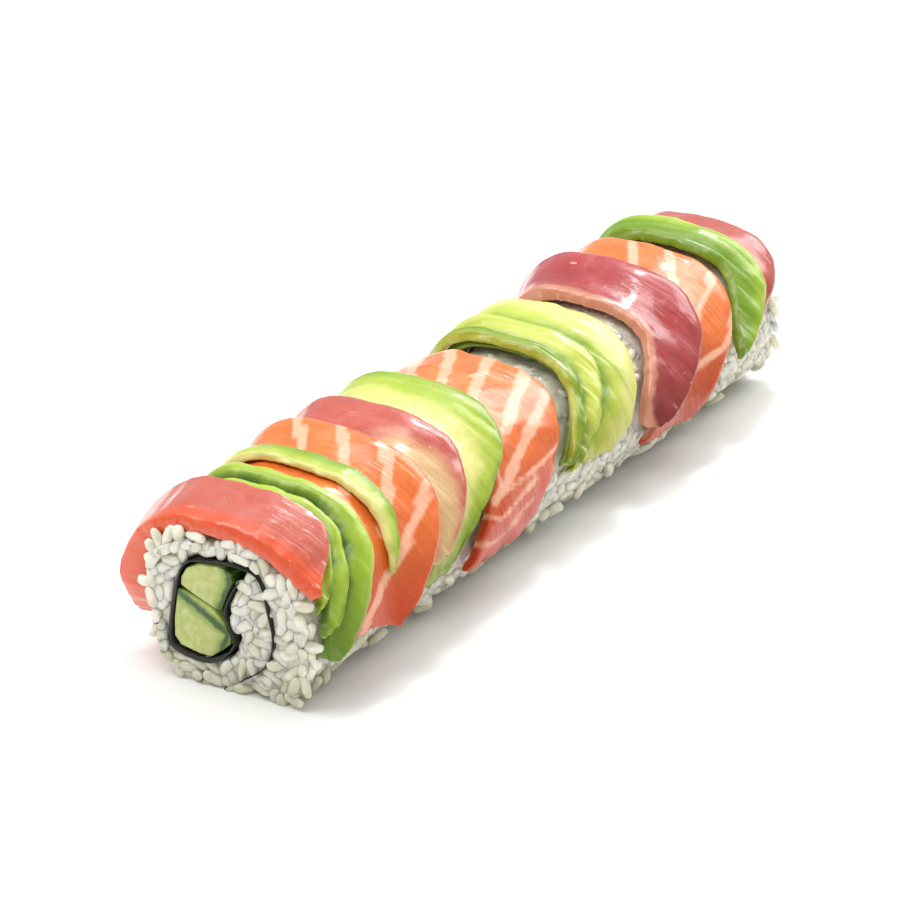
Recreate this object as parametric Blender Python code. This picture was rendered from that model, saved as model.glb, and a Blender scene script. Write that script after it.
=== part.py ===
"""An uncut uramaki roll: rice round a sheet of nori and two cucumber sticks, under shingled slices.

The roll lies along Y on its flat underside, with its shown end at the low end of Y.
A place on the rice is given by its way round from the crest (plus on the +X side) and its Y.
"""
import bmesh
import bpy
import math
import mathutils
import numpy as np

MM = 0.001

# The rice body, seen from its shown end.
ROLL_LENGTH = 207 * MM
RICE_LEFT = 20.0 * MM         # half width on the -X side
RICE_RIGHT = 20.5 * MM        # half width on the +X side
WIDEST_HEIGHT = 15.0 * MM
RICE_HEIGHT = 33.0 * MM
BASE_SINK = 0.8 * MM          # the roll's own weight flattens this much of its underside
LEAN = 0.16                   # sideways lean for each unit of height
SQUARE_TOP_LEFT = 2.85        # superellipse powers: higher is boxier
SQUARE_TOP_RIGHT = 2.5
SQUARE_BOTTOM_LEFT = 4.0
SQUARE_BOTTOM_RIGHT = 2.05
CREST_BIAS = 0.02             # makes the crest the flattest point nearest to the middle
GRAIN_LUMP = 1.0 * MM         # unevenness of the bare rice
COVERED_LUMP = 0.35 * MM      # unevenness under the slices
FLARE = 3.0 * MM              # how far the cut spreads the shown end's lower right corner
FLARE_LENGTH = 14 * MM
FLARE_FROM, FLARE_MIDDLE, FLARE_TO = 38 * MM, 47 * MM, 56 * MM
FLAT_HEIGHT = 0.05 * MM       # lower than this, the rice is pressed flat
LUMP_FULL_HEIGHT = 3 * MM
RICE_ROW = 8.3 * MM
COVERED_FROM = -38 * MM       # ways round between which slices cover the rice
COVERED_TO = 44 * MM

COLUMN = 4.6 * MM             # way round between two grid lines
GAP = 0.35 * MM               # clear space between pieces
CURVE_STEPS = 3

# The nori sheet's centre line, from its outer end round to its inner end: x and height in mm.
NORI_HALF = 0.45 * MM
NORI_LINE = (
    (2.8, 2.8), (8.8, 7.4), (10.9, 13.6), (9.7, 20.0), (8.0, 26.2), (4.3, 28.2),
    (-4.3, 28.0), (-10.4, 26.0), (-12.7, 19.8), (-14.3, 10.0), (-13.0, 6.5),
    (-4.6, 5.6), (1.5, 10.6), (-0.7, 16.7), (0.7, 21.4), (2.9, 25.1),
)
RETURN_POINT = 5              # the nori point beside which the slot turns back

# The cucumber sticks' corners: x and height in mm.
CUCUMBER_LOWER = (
    (-11.8, 19.6), (-9.0, 19.0), (-4.9, 17.6), (-2.5, 15.8), (0.1, 12.6), (-0.3, 10.6),
    (-1.8, 9.1), (-4.4, 7.2), (-7.0, 7.1), (-11.4, 7.9), (-12.8, 9.6), (-12.7, 13.5),
)
CUCUMBER_UPPER = (
    (-11.0, 21.2), (-7.4, 19.6), (-3.2, 18.0), (-1.9, 17.9), (-0.9, 20.5),
    (0.8, 24.4), (0.2, 26.3), (-2.6, 26.8), (-6.8, 26.4), (-9.6, 25.0), (-10.8, 23.0),
)
CUCUMBER_SHORT = 0.6 * MM     # how far a stick stops inside each end of the roll

# Slices.
OVERLAP = 4.0 * MM            # how far a slice reaches under the one before it
RAMP = 8.0 * MM               # length over which a slice climbs onto the one behind it
RAMP_LEAST = 1.0 * MM
NOSE = 0.9 * MM               # width of the rounded edge
NOSE_LOW, NOSE_HIGH = 0.30, 0.72     # shares of the thickness
NOSE_UNDER, NOSE_OVER = 0.5, 0.3     # shares of the nose's width
SLOPE_END = 13 * MM           # past this, an edge sweeps forward at a steady slope
LEFT_LEAD = 0.12              # an edge drifts back this much for each unit towards -X
HEM_THIN = 0.65               # thickness left at a slice's lower ends
# The share of its thickness that a slice gains on the -X side, and the ways between which it does.
LEFT_GAIN = (0.45, -6 * MM, -24 * MM)
OWN_LEFT_GAIN = {"tuna_1": (1.5, -16 * MM, -27 * MM)}
HEM_LENGTH = 0.6 * MM         # the thinner hem's length
FIRST_COLUMN = 1.2 * MM       # from an end to its next column
COLUMN_CLEAR = 2.2 * MM       # least distance from an end to a grid line's column
MIN_WIDTH = 1.6 * MM
CORNER_LIFT = 2.5 * MM        # rounded corners climb this much earlier
CLOSE = 0.05 * MM
ROW_LEAST = 0.5 * MM
KEEP_BACK = 3.0 * MM          # a rounded corner leaves this much behind the slice in front
FACE_MARGIN = 0.3 * MM        # slices stop this far behind the shown end
WIDE = 12 * MM                # a level stretch longer than this gets one more row

TUNA = "tuna_flesh"
SALMON = "salmon_flesh"
AVOCADO = "avocado_flesh"
THICK = {TUNA: 3.4 * MM, SALMON: 3.0 * MM, AVOCADO: 2.0 * MM}

# name: material, back edge (crest y, way round where it bends, bend per cm squared), ends, corner,
# own front edge or None, slice that it rests on behind or None, thickness or None; all in mm.
SLICES = {
    "tuna_1": (TUNA, (15, 13, 20), (-39, 22), (9, 3), (0, 14, 0), "avocado_1a", None),
    "avocado_1a": (AVOCADO, (17.2, 10, 6), (-27, 24.5), (4, 4), (9, 12, 5), "avocado_1b", 1.7),
    "avocado_1b": (AVOCADO, (22, 8, 4), (-31, 29), (4, 4), (14.7, 9, 4.2), "avocado_1c", 1.7),
    "avocado_1c": (AVOCADO, (27, 12, 4.5), (-35, 34), (5, 5), (19.5, 8.5, 4.0), "salmon_1", 1.7),
    "salmon_1": (SALMON, (50.5, 13, 5.2), (-36, 34), (8, 6), None, "tuna_2", None),
    "tuna_2": (TUNA, (66, 9, 5), (-34, 29), (7, 6), None, "avocado_2", None),
    "avocado_2": (AVOCADO, (84, 9, 7.5), (-38, 34), (8, 7), None, "salmon_2", 2.6),
    "salmon_2": (SALMON, (108, 10, 4.6), (-36, 37), (8, 9), (79, 10, 4.2), None, None),
    "avocado_3a": (AVOCADO, (119.5, 8, 4.9), (-33, 28), (6, 6), (115, 8, 4.9), "avocado_3b", 1.9),
    "avocado_3b": (AVOCADO, (127, 10, 6), (-35, 29), (6, 6), (117, 8, 4.9), "avocado_3c", 1.9),
    "avocado_3c": (AVOCADO, (140, 8, 3.2), (-36, 31), (7, 8), (123, 10, 6), "salmon_4", 2.4),
    "salmon_4": (SALMON, (143.5, 7, 4.6), (-30, 24), (6, 6), (131, 8, 3.2), None, 1.8),
    "tuna_3": (TUNA, (168, 13, 7), (-37, 32), (8, 9), (150, 10, 5.5), "salmon_3", None),
    "salmon_3": (SALMON, (185, 13, 6), (-35, 36), (8, 7), None, "avocado_4a", None),
    "avocado_4a": (AVOCADO, (189, 14, 8), (-33, 27), (6, 6), None, None, 1.6),
    "avocado_4b": (AVOCADO, (201, 14, 8), (-35, 30), (6, 6), (192, 10, 5.5), "tuna_4", 2.2),
    "tuna_4": (TUNA, (213, 12, 8), (-34, 27), (8, 7), None, None, None),
}

# The loose strip of avocado that lies on the first salmon slice.
STRIP = ("avocado_5", "salmon_1", (38, 12, 6), (-32, 26), (5, 4), (31.5, 8, 2), 2.0)

COLOURS = {
    "rice": (0.66, 0.64, 0.52),
    "nori": (0.010, 0.013, 0.008),
    "cucumber_flesh": (0.42, 0.48, 0.13),
    TUNA: (0.55, 0.10, 0.08),
    SALMON: (0.85, 0.22, 0.05),
    AVOCADO: (0.36, 0.50, 0.07),
}
ROUGHNESS = {"rice": 0.45, "nori": 0.6, "cucumber_flesh": 0.35,
             TUNA: 0.25, SALMON: 0.3, AVOCADO: 0.4}


def clear_scene():
    for thing in list(bpy.data.objects):
        bpy.data.objects.remove(thing, do_unlink=True)


def material(slot):
    made = bpy.data.materials.get(slot)
    if made:
        return made
    made = bpy.data.materials.new(slot)
    made.use_nodes = True
    shader = made.node_tree.nodes["Principled BSDF"]
    shader.inputs["Base Color"].default_value = (*COLOURS[slot], 1)
    shader.inputs["Roughness"].default_value = ROUGHNESS[slot]
    shader.inputs["Metallic"].default_value = 0
    return made


def add_object(name, mesh_data, slot, smooth_angle=40):
    """Closes a bmesh into a named object with outward faces."""
    bmesh.ops.recalc_face_normals(mesh_data, faces=mesh_data.faces)
    bmesh.ops.triangulate(mesh_data, faces=mesh_data.faces)
    mesh = bpy.data.meshes.new(name)
    mesh_data.to_mesh(mesh)
    mesh_data.free()
    mesh.shade_smooth()
    mesh.set_sharp_from_angle(angle=math.radians(smooth_angle))
    mesh.materials.append(material(slot))
    made = bpy.data.objects.new(name, mesh)
    bpy.context.scene.collection.objects.link(made)
    return made


def rice_outline(samples=1440):
    """The rice's cross-section as x and height, once round from the middle of the underside."""
    turn = np.linspace(-math.pi, math.pi, samples + 1)
    across, up = np.sin(turn), np.cos(turn)
    power = np.where(across < 0, SQUARE_TOP_LEFT, SQUARE_TOP_RIGHT)
    bottom_power = np.where(across < 0, SQUARE_BOTTOM_LEFT, SQUARE_BOTTOM_RIGHT)
    power = np.where(up < 0, bottom_power, power)
    half = np.where(across < 0, RICE_LEFT, RICE_RIGHT)
    rise = np.where(up < 0, WIDEST_HEIGHT + BASE_SINK, RICE_HEIGHT - WIDEST_HEIGHT)
    x = half * np.sign(across) * np.abs(across) ** (2 / power)
    height = WIDEST_HEIGHT + rise * np.sign(up) * np.abs(up) ** (2 / power)
    height = np.maximum(height, 0)
    return np.column_stack([x + LEAN * (WIDEST_HEIGHT - height), height])


class Surface:
    """The rice's covered surface: a way round and a lift above it give x and height.

    Between two grid lines the surface is flat, so that stacked pieces keep their gaps.
    """

    def __init__(self):
        outline = rice_outline()
        steps = np.linalg.norm(np.diff(outline, axis=0), axis=1)
        way = np.concatenate([[0], np.cumsum(steps)])
        crest = np.argmax(outline[:, 1] - CREST_BIAS * np.abs(outline[:, 0]))
        around = way[-1]
        way = way - way[crest]
        count = round(around / COLUMN)
        self.pitch = around / count
        first = math.ceil(way[0] / self.pitch)
        self.ways = (first + np.arange(count)) * self.pitch
        self.points = np.column_stack([np.interp(self.ways, way, outline[:, i]) for i in (0, 1)])
        ahead = np.roll(self.points, -1, axis=0) - np.roll(self.points, 1, axis=0)
        normals = np.column_stack([-ahead[:, 1], ahead[:, 0]])
        self.normals = normals / np.linalg.norm(normals, axis=1)[:, None]

    def at(self, way, lift):
        x = np.interp(way, self.ways, self.points[:, 0] + self.normals[:, 0] * lift)
        height = np.interp(way, self.ways, self.points[:, 1] + self.normals[:, 1] * lift)
        return x, height

    def edge_y(self, edge, way):
        """Y of a slice's edge, straight between two grid lines."""
        low = math.floor(way / self.pitch) * self.pitch
        share = (way - low) / self.pitch
        return (1 - share) * edge_curve(edge, low) + share * edge_curve(edge, low + self.pitch)


def edge_curve(edge, way):
    """Y of a slice's edge: level over the crest, then sweeping forward down the +X side."""
    crest, bend_from, bend = edge
    past = max(0.0, way - bend_from * MM)
    steady = min(past, SLOPE_END)
    sweep = bend * MM * (steady / (10 * MM)) ** 2
    sweep += 2 * bend * MM * SLOPE_END * (past - steady) / (10 * MM) ** 2
    return crest * MM - sweep + LEFT_LEAD * max(0.0, -way)


class Slice:
    """One slice of topping, as a curved slab over the rice."""

    def __init__(self, surface, name, slot, back, ends, corners, front, thick, lies_on=None):
        self.surface = surface
        self.name = name
        self.slot = slot
        self.back_edge = back
        self.ends = [end * MM for end in ends]
        self.corners = [corner * MM for corner in corners]
        self.front_edge = front
        self.rests_on = None
        self.covered = False
        self.thick = thick * MM if thick else THICK[slot]
        self.lies_on = lies_on
        self.before = None

    def front(self, way):
        if self.front_edge:
            return max(self.surface.edge_y(self.front_edge, way), FACE_MARGIN)
        return max(self.before.back(way) - OVERLAP, FACE_MARGIN)

    def back(self, way):
        return self.surface.edge_y(self.back_edge, way)

    def drawn_in(self, way):
        """How far the rounded lower corners draw the edges in."""
        inset = 0.0
        for end, corner, side in zip(self.ends, self.corners, (-1, 1)):
            near = side * (way - end) + corner
            if near > 0:
                inset = corner * (1 - math.sqrt(max(0.0, 1 - (near / corner) ** 2)))
        return inset

    def edges(self, way):
        front, back = self.front(way), self.back(way)
        inset = self.drawn_in(way)
        if self.covered:
            fixed = self.ramp(way)[0] if self.rests_on else front
            back -= min(inset, max(0.0, back - fixed - KEEP_BACK))
        else:
            inset = min(inset, max(0.0, (back - front - MIN_WIDTH) / 2))
            front, back = front + inset, back - inset
        return front, max(back, front + MIN_WIDTH)

    def ramp(self, way):
        """Where the slice starts to climb, and where it is on top of the one behind it."""
        start = self.rests_on.front(way)
        foot = start - RAMP
        if self.before:
            foot = max(foot, self.before.back(way))
        return min(foot, start - RAMP_LEAST), start

    def underside(self, way, y):
        """Height of the slice's underside over the rice."""
        if self.lies_on:
            return self.lies_on.top(way, y) + GAP
        if not self.rests_on:
            return GAP
        foot, start = self.ramp(way)
        climb = min(1.0, max(0.0, (y - foot) / (start - foot)))
        low, high = self.rests_on.ends
        beyond = max(low - way, way - high) - self.surface.pitch
        climb *= min(1.0, max(0.0, 1 - beyond / RAMP))
        return GAP + climb * self.rests_on.top(way, max(y, start))

    def placed_underside(self, way, y):
        """The underside's height, with the rounded corners climbing a little earlier."""
        lift = self.underside(way, y)
        if self.rests_on and self.drawn_in(way) and y > self.ramp(way)[0] + CLOSE:
            lift = max(lift, self.underside(way, y + CORNER_LIFT))
        return lift

    def thickness(self, way):
        gain, start, full = OWN_LEFT_GAIN.get(self.name, LEFT_GAIN)
        share = min(1.0, max(0.0, (way - start) / (full - start)))
        return self.thick * (1 + gain * share)

    def top(self, way, y):
        return self.underside(way, y) + self.thickness(way)

    def rows(self, way):
        front, back = self.edges(way)
        if self.rests_on:
            inner = list(self.ramp(way))
            if inner[0] - front > WIDE:
                inner.insert(0, (front + inner[0]) / 2)
        else:
            inner = [front + (back - front) / 3, front + 2 * (back - front) / 3]
        return front, inner, back


def slice_columns(piece, surface):
    """Ways round at which a slice has a ring of points, closer at its two ends."""
    low, high = piece.ends
    ways = [way for way in surface.ways if low + COLUMN_CLEAR < way < high - COLUMN_CLEAR]
    return [low, low + FIRST_COLUMN] + ways + [high - FIRST_COLUMN, high]


def slice_ring(piece, surface, way, rows_wanted):
    """The closed cross-section of a slice at one way round."""
    front, inner, back = piece.rows(way)
    while len(inner) < rows_wanted:
        inner.insert(0, front + (inner[0] - front) / 2)
    width = back - front
    nose = min(NOSE, width / 4)
    low, high = front + nose, back - nose
    step = min(ROW_LEAST, (high - low) / (len(inner) + 3))
    inner = [min(max(y, low + step * (i + 1)), high - step * (len(inner) - i))
             for i, y in enumerate(inner)]
    near_end = min(way - piece.ends[0], piece.ends[1] - way)
    thick = piece.thickness(way) * (HEM_THIN if near_end < HEM_LENGTH else 1.0)
    below = [front + nose * NOSE_UNDER] + inner + [back - nose * NOSE_UNDER]
    above = [low] + inner + [high]
    ring = [(y, piece.placed_underside(way, y)) for y in reversed(below)]
    ring.append((front, piece.placed_underside(way, front) + thick * NOSE_LOW))
    ring.append((front + nose * NOSE_OVER, piece.placed_underside(way, front) + thick * NOSE_HIGH))
    ring += [(y, piece.placed_underside(way, y) + thick) for y in above]
    ring.append((back - nose * NOSE_OVER, piece.placed_underside(way, back) + thick * NOSE_HIGH))
    ring.append((back, piece.placed_underside(way, back) + thick * NOSE_LOW))
    placed = []
    for y, lift in ring:
        x, height = surface.at(way, lift)
        placed.append((x, y, height))
    return placed


def loft(rings, name, slot):
    """Joins closed rings of equal length and caps both ends."""
    work = bmesh.new()
    loops = [[work.verts.new(point) for point in ring] for ring in rings]
    for one, two in zip(loops, loops[1:]):
        for i in range(len(one)):
            j = (i + 1) % len(one)
            work.faces.new((one[i], one[j], two[j], two[i]))
    work.faces.new(loops[0])
    work.faces.new(loops[-1])
    return add_object(name, work, slot)


def build_slices(surface):
    pieces = {}
    before = None
    for name, (slot, back, ends, corners, front, _, thick) in SLICES.items():
        pieces[name] = Slice(surface, name, slot, back, ends, corners, front, thick)
        pieces[name].before = before
        before = pieces[name]
    for name, row in SLICES.items():
        if row[5]:
            pieces[name].rests_on = pieces[row[5]]
            pieces[row[5]].covered = True
    name, host, back, ends, corners, front, thick = STRIP
    pieces[name] = Slice(surface, name, AVOCADO, back, ends, corners, front, thick, pieces[host])
    for piece in pieces.values():
        columns = slice_columns(piece, surface)
        wanted = max(len(piece.rows(way)[1]) for way in columns)
        loft([slice_ring(piece, surface, way, wanted) for way in columns], piece.name, piece.slot)


def smooth_line(points, steps):
    """A Catmull-Rom curve through the points, in metres."""
    points = [np.array(point, float) * MM for point in points]
    padded = [2 * points[0] - points[1]] + points + [2 * points[-1] - points[-2]]
    line = []
    for i in range(1, len(padded) - 2):
        before, one, two, after = padded[i - 1:i + 3]
        for k in range(steps):
            t = k / steps
            line.append(0.5 * (2 * one + (two - before) * t
                               + (2 * before - 5 * one + 4 * two - after) * t * t
                               + (3 * one - before - 3 * two + after) * t ** 3))
    line.append(points[-1])
    return line


def offset_line(line, distance):
    """The line moved to its right-hand side by a distance."""
    line = np.array(line)
    ahead = np.gradient(line, axis=0)
    ahead /= np.linalg.norm(ahead, axis=1)[:, None]
    right = np.column_stack([ahead[:, 1], -ahead[:, 0]])
    return line + right * distance


def extrude_outline(outline, start, end, name, slot):
    """A straight prism along Y from an outline of x and height."""
    rings = [[(x, y, height) for x, height in outline] for y in (start, end)]
    return loft(rings, name, slot)


def build_fillings():
    line = smooth_line(NORI_LINE, CURVE_STEPS)
    outer = offset_line(line, NORI_HALF)
    inner = offset_line(line, -NORI_HALF)
    band = [*outer, *inner[::-1]]
    extrude_outline(band, GAP, ROLL_LENGTH - GAP, "nori", "nori")
    for name, corners in (("cucumber_lower", CUCUMBER_LOWER), ("cucumber_upper", CUCUMBER_UPPER)):
        outline = [(x * MM, height * MM) for x, height in corners]
        extrude_outline(outline, CUCUMBER_SHORT, ROLL_LENGTH - CUCUMBER_SHORT, name, "cucumber_flesh")


def slot_outline():
    """The space in the rice that holds the nori and the cucumber sticks."""
    line = smooth_line(NORI_LINE, CURVE_STEPS)
    clear = NORI_HALF + GAP
    outer = list(offset_line(line, clear))
    inner = list(offset_line(line, -clear))
    start = line[0] - line[1]
    start = line[0] + start / np.linalg.norm(start) * GAP
    end = line[-1] - line[-2]
    end = line[-1] + end / np.linalg.norm(end) * GAP
    shift = outer[-1] - line[-1]
    first_shift = outer[0] - line[0]
    outer[0] = start + first_shift
    outer[-1] = end + shift
    back = inner[:RETURN_POINT * CURVE_STEPS + 1]
    back[0] = start - first_shift
    return outer + back[::-1]


def lump(way, y):
    """Smooth unevenness between -1 and 1."""
    a = math.sin(way / MM * 0.61 + 1.3 * math.sin(y / MM * 0.19))
    b = math.sin(y / MM * 0.47 + 2.1 * math.sin(way / MM * 0.23 + 0.7))
    c = math.sin(way / MM * 1.07 - y / MM * 0.83 + 0.4)
    return (a + b + 0.8 * c) / 2.8


def rice_lift(way, y, height):
    """How far the rice's outline stands out at one place."""
    if height < FLAT_HEIGHT:
        return 0.0
    value = lump(way, y)
    if COVERED_FROM < way < COVERED_TO:
        return (value - 1) / 2 * COVERED_LUMP
    reach = FLARE_MIDDLE - FLARE_FROM if way < FLARE_MIDDLE else FLARE_TO - FLARE_MIDDLE
    flare = FLARE * max(0.0, 1 - abs(way - FLARE_MIDDLE) / reach) * max(0.0, 1 - y / FLARE_LENGTH)
    return flare + value * GRAIN_LUMP * min(1.0, height / LUMP_FULL_HEIGHT)


def build_rice(surface):
    """The rice heap: an uneven outside and a slot that runs right through."""
    work = bmesh.new()
    rows = round(ROLL_LENGTH / RICE_ROW)
    rings = []
    for row in range(rows + 1):
        y = ROLL_LENGTH * row / rows
        ring = []
        for way, point in zip(surface.ways, surface.points):
            x, height = surface.at(way, rice_lift(way, y, point[1]))
            ring.append(work.verts.new((x, y, max(0.0, height))))
        rings.append(ring)
    count = len(rings[0])
    for one, two in zip(rings, rings[1:]):
        for i in range(count):
            j = (i + 1) % count
            work.faces.new((one[i], one[j], two[j], two[i]))
    slot = slot_outline()
    ends = [[work.verts.new((x, y, height)) for x, height in slot] for y in (0, ROLL_LENGTH)]
    for i in range(len(slot)):
        j = (i + 1) % len(slot)
        work.faces.new((ends[0][i], ends[1][i], ends[1][j], ends[0][j]))
    for ring, inner in ((rings[0], ends[0]), (rings[-1], ends[1])):
        rim = [work.edges.get(pair) for loop in (ring, inner)
               for pair in zip(loop, loop[1:] + loop[:1])]
        bmesh.ops.triangle_fill(work, use_beauty=True, use_dissolve=False, edges=rim)
    add_object("rice", work, "rice")


def centre_on_base():
    """Puts the origin under the middle of the whole roll, at the height of its underside."""
    pieces = [thing for thing in bpy.data.objects if thing.type == "MESH"]
    corners = np.array([vert.co for piece in pieces for vert in piece.data.vertices])
    low, high = corners.min(axis=0), corners.max(axis=0)
    shift = mathutils.Vector((-(low[0] + high[0]) / 2, -(low[1] + high[1]) / 2, -low[2]))
    for piece in pieces:
        piece.data.transform(mathutils.Matrix.Translation(shift))


def main():
    clear_scene()
    surface = Surface()
    build_rice(surface)
    build_fillings()
    build_slices(surface)
    centre_on_base()


main()
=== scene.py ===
"""Looks for an uncut uramaki roll: sticky rice grains, nori, cucumber and shingled slices.

A place on the roll is given by its way round the rice from the crest (plus on the +X side) and by
its run, the distance behind the shown end. Both are in millimetres.
"""

import bpy
import math
import numpy as np
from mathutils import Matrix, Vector
from mathutils.bvhtree import BVHTree


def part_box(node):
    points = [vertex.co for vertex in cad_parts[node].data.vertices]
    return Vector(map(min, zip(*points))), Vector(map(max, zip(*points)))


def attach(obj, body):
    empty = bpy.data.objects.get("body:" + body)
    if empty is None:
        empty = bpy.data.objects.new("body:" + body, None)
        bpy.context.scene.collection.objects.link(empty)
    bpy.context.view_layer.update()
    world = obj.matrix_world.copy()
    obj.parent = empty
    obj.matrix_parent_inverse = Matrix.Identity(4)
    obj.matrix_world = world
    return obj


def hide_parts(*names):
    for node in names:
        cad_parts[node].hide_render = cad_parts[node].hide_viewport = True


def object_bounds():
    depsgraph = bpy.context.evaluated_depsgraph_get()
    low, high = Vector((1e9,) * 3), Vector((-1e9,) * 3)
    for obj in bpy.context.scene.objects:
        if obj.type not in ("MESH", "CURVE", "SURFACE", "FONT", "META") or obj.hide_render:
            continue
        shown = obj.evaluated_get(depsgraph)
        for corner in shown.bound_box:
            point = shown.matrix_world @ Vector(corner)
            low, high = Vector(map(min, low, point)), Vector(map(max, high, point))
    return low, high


bl_info = {
    "name": "Uramaki roll",
    "version": (1, 0, 0),
    "blender": (4, 5, 0),
    "location": "3D View > Sidebar > Uramaki",
    "description": "Builds the rice, fillings and sliced toppings of an uramaki roll",
    "category": "Object",
}

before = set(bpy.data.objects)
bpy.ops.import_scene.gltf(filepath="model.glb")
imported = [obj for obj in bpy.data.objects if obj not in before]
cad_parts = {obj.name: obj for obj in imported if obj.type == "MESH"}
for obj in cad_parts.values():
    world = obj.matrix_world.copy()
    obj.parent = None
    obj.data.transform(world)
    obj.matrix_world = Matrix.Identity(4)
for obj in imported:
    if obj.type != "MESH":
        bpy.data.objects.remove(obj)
CAD_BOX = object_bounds()

MM = 0.001
BODY = "root"
SHOWN_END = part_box("rice")[0].y
FAR_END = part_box("rice")[1].y
BELLY = 15.0                  # height at which the rice is widest, in mm
RING_MARGIN = 1.0             # rice points nearer to an end than this are left out of the outline
COLUMN_GAP = 0.6              # ways round of one column of a slice differ by less than this
FAR_OFF = 99.0                # a distance that is never the nearest, in mm
GRAIN_FLATNESS = 0.86         # a grain's height for its width
FILLING_CLEAR = 0.9           # grains at an end stay this far from the fillings, in mm
END_FACING = 0.9              # directions this much along the roll belong to an end
DOWN_FACING = -0.7            # directions that point down more than this belong to the underside
TEST_LIFT = 0.4               # a test ray starts this far outside the rice, in mm
COVER_REACH = 9.0             # a slice nearer than this covers a grain, in mm
GRAIN_TRIES = 70000           # places tried before they are thinned out
CORE_VOXEL = 1.15             # fineness of the rice core, in mm
ROOM_STRENGTH = 0.52          # soft light from all round
# The nori's thickness as a share of its solid's: mostly, where wet, where doubled, on the outer turn.
NORI_PLAIN, NORI_WET, NORI_DOUBLED, NORI_OUTER = 0.42, 0.8, 1.2, 0.34


def tint(red, green, blue):
    """A scene-linear colour from display values between 0 and 255."""
    return tuple(((part / 255 + 0.055) / 1.055) ** 2.4 if part > 10 else part / 255 / 12.92
                 for part in (red, green, blue))


# Fish slices: colour on the crest, painted shade colour low down, and colour along the front edge, with that
# edge's width.
TUNA_SLICES = {
    "tuna_1": ((198, 98, 82), (186, 62, 42), (220, 84, 40), 4.5),
    "tuna_2": ((196, 90, 76), (156, 58, 36), (212, 178, 124), 9.0),
    "tuna_3": ((176, 64, 66), (120, 26, 14), (206, 140, 112), 2.0),
    "tuna_4": ((184, 82, 70), (142, 36, 22), (190, 98, 80), 2.5),
}

# Salmon slices: crest colour and painted shade colour low down, then fat lines as (way, run) corners with a
# half width.
SALMON_SLICES = {
    "salmon_1": ((238, 124, 50), (196, 66, 10), (
        (1.0, (-26, 60), (-14.9, 55.6), (-6.1, 40.1)),
        (1.1, (-4.6, 53), (5.3, 37.3), (9, 31)),
        (1.1, (4.5, 52), (15.9, 35.7), (19, 30)),
        (0.9, (16.6, 47), (22.9, 33.2), (26.5, 23.7), (33, 14)),
    )),
    "salmon_2": ((240, 126, 50), (188, 50, 6), (
        (1.1, (-28, 112), (-20, 92)),
        (1.1, (-17.5, 110), (-10.7, 91.6), (-7, 84)),
        (1.2, (-11, 110), (-3.0, 91.5), (0, 84)),
        (1.2, (-1.6, 110), (5.2, 90.0), (8, 82)),
        (1.2, (7.6, 108), (13.1, 91.5), (16, 84)),
        (1.1, (14.2, 105), (18.7, 89.9), (22.6, 78.9), (26, 70)),
        (0.35, (-14, 98.3), (4.3, 95.0)),
        (0.5, (12.2, 83), (19, 76), (25.8, 72), (24.5, 88.9), (23.6, 98)),
        (0.45, (18, 70), (26.4, 64), (29.6, 69.8), (26.6, 87.4)),
        (0.4, (24, 60), (31, 56), (33, 68), (30, 84)),
    )),
    "salmon_3": ((240, 128, 54), (180, 60, 6), (
        (1.0, (-22, 186), (-14, 166)),
        (1.1, (-6.4, 184), (3.2, 166.2), (6, 160)),
        (1.0, (2.9, 183), (11.6, 169.2), (15, 163)),
        (0.7, (12.9, 183), (19.8, 163.9), (24, 150)),
        (0.7, (21.2, 180), (25.7, 170.5), (26.7, 155.4), (30.5, 143.8), (34, 136)),
    )),
    "salmon_4": ((238, 150, 88), (226, 120, 60), ((0.9, (-3, 146), (3, 134)), (0.6, (8, 143), (14, 128)))),
}

# Avocado slices: colours from the visible front edge to the back edge, painted shade colour low down on the
# +X side, and the depth of the creases that run round the roll, in mm.
AVOCADO_SLICES = {
    # The dark first colours of avocado_1a, 1b and 1c are painted shadow where each slice comes out from under
    # the one in front; the pale last colour of avocado_1c is partly its paler flesh and partly a painted
    # highlight along its back rim.
    "avocado_1a": (((84, 120, 8), (160, 190, 36), (172, 198, 48), (118, 158, 16)), (90, 124, 4), 0.06),
    "avocado_1b": (((62, 98, 4), (152, 184, 32), (174, 200, 56), (116, 154, 16)), (96, 128, 6), 0.06),
    "avocado_1c": (((58, 94, 4), (146, 178, 28), (166, 194, 50), (200, 206, 92)), (90, 122, 4), 0.06),
    "avocado_5": (((222, 214, 136), (176, 192, 66), (132, 168, 16), (110, 148, 10)), (78, 118, 2), 0.08),
    "avocado_2": (((238, 232, 158), (226, 224, 132), (172, 194, 60), (122, 158, 14)), (118, 138, 4), 0.22),
    "avocado_3a": (((174, 172, 44), (136, 160, 28), (104, 140, 14), (188, 198, 76)), (92, 112, 4), 0.22),
    "avocado_3b": (((116, 146, 20), (194, 204, 82), (196, 206, 88), (98, 140, 10)), (100, 122, 4), 0.28),
    "avocado_3c": (((112, 152, 16), (188, 202, 80), (218, 220, 128), (214, 214, 104)), (162, 158, 20), 0.16),
    "avocado_4a": (((234, 224, 128), (238, 232, 146), (228, 226, 128), (172, 174, 56)), (206, 200, 96), 0.06),
    "avocado_4b": (((114, 144, 8), (108, 148, 8), (146, 178, 36), (212, 212, 106)), (108, 134, 4), 0.18),
}

# The slice whose back edge covers each slice's front.
COVERED_BY = {
    "avocado_1a": "tuna_1", "avocado_1b": "avocado_1a", "avocado_1c": "avocado_1b",
    "salmon_1": "avocado_1c", "tuna_2": "salmon_1", "avocado_2": "tuna_2", "salmon_2": "avocado_2",
    "avocado_3b": "avocado_3a", "avocado_3c": "avocado_3b", "salmon_4": "avocado_3c",
    "salmon_3": "tuna_3", "avocado_4a": "salmon_3", "tuna_4": "avocado_4b",
}
ALL_SLICES = (*TUNA_SLICES, *SALMON_SLICES, *AVOCADO_SLICES)


# Reading the CAD nodes ----------------------------------------------------------------------------

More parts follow.
